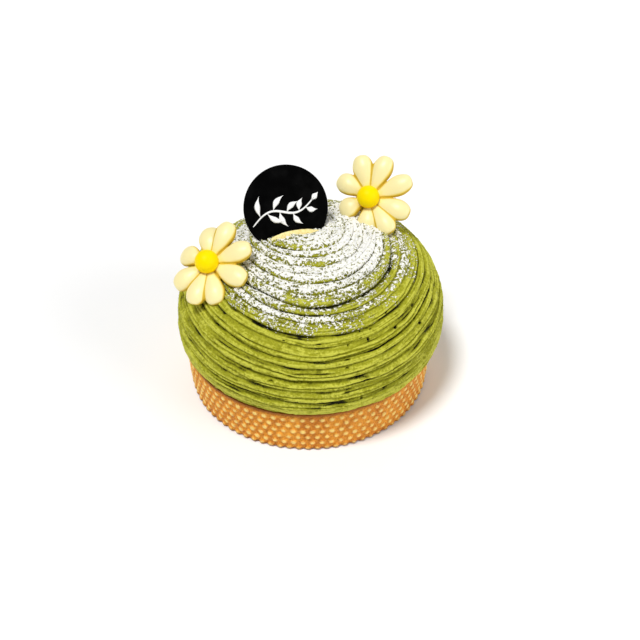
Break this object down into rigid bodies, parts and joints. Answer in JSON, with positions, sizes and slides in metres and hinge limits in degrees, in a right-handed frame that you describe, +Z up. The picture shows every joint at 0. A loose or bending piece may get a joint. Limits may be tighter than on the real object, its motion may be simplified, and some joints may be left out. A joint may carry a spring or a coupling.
{
  "type": "matcha mont blanc cake",
  "caption": "Round studded tart case with a tall dome of piped green matcha cream, topped by a round plaque and moulded daisies.",
  "frame": {"origin": "middle of the tart case's flat underside", "axes": "+Z up out of the cake, -Y towards the front, where the plaque and the daisies face, +X to the right seen from the front"},
  "size_m": [0.11, 0.1096, 0.09],
  "materials": {
    "crust": "golden baked pastry, slightly crumbly",
    "matcha_cream": "soft matt piped cream with icing sugar on top",
    "dark_plaque": "smooth satin black",
    "pale_cream": "soft matt",
    "petal": "smooth satin, slightly translucent",
    "yellow_centre": "smooth satin"
  },
  "bodies": {
    "root": {"tart_case": "crust", "cream_dome": "matcha_cream", "plaque": "dark_plaque", "plaque_foot_ridge": "pale_cream", "daisy_left_petals": "petal", "daisy_left_centre": "yellow_centre", "daisy_right_petals": "petal", "daisy_right_centre": "yellow_centre"}
  },
  "joints": []
}
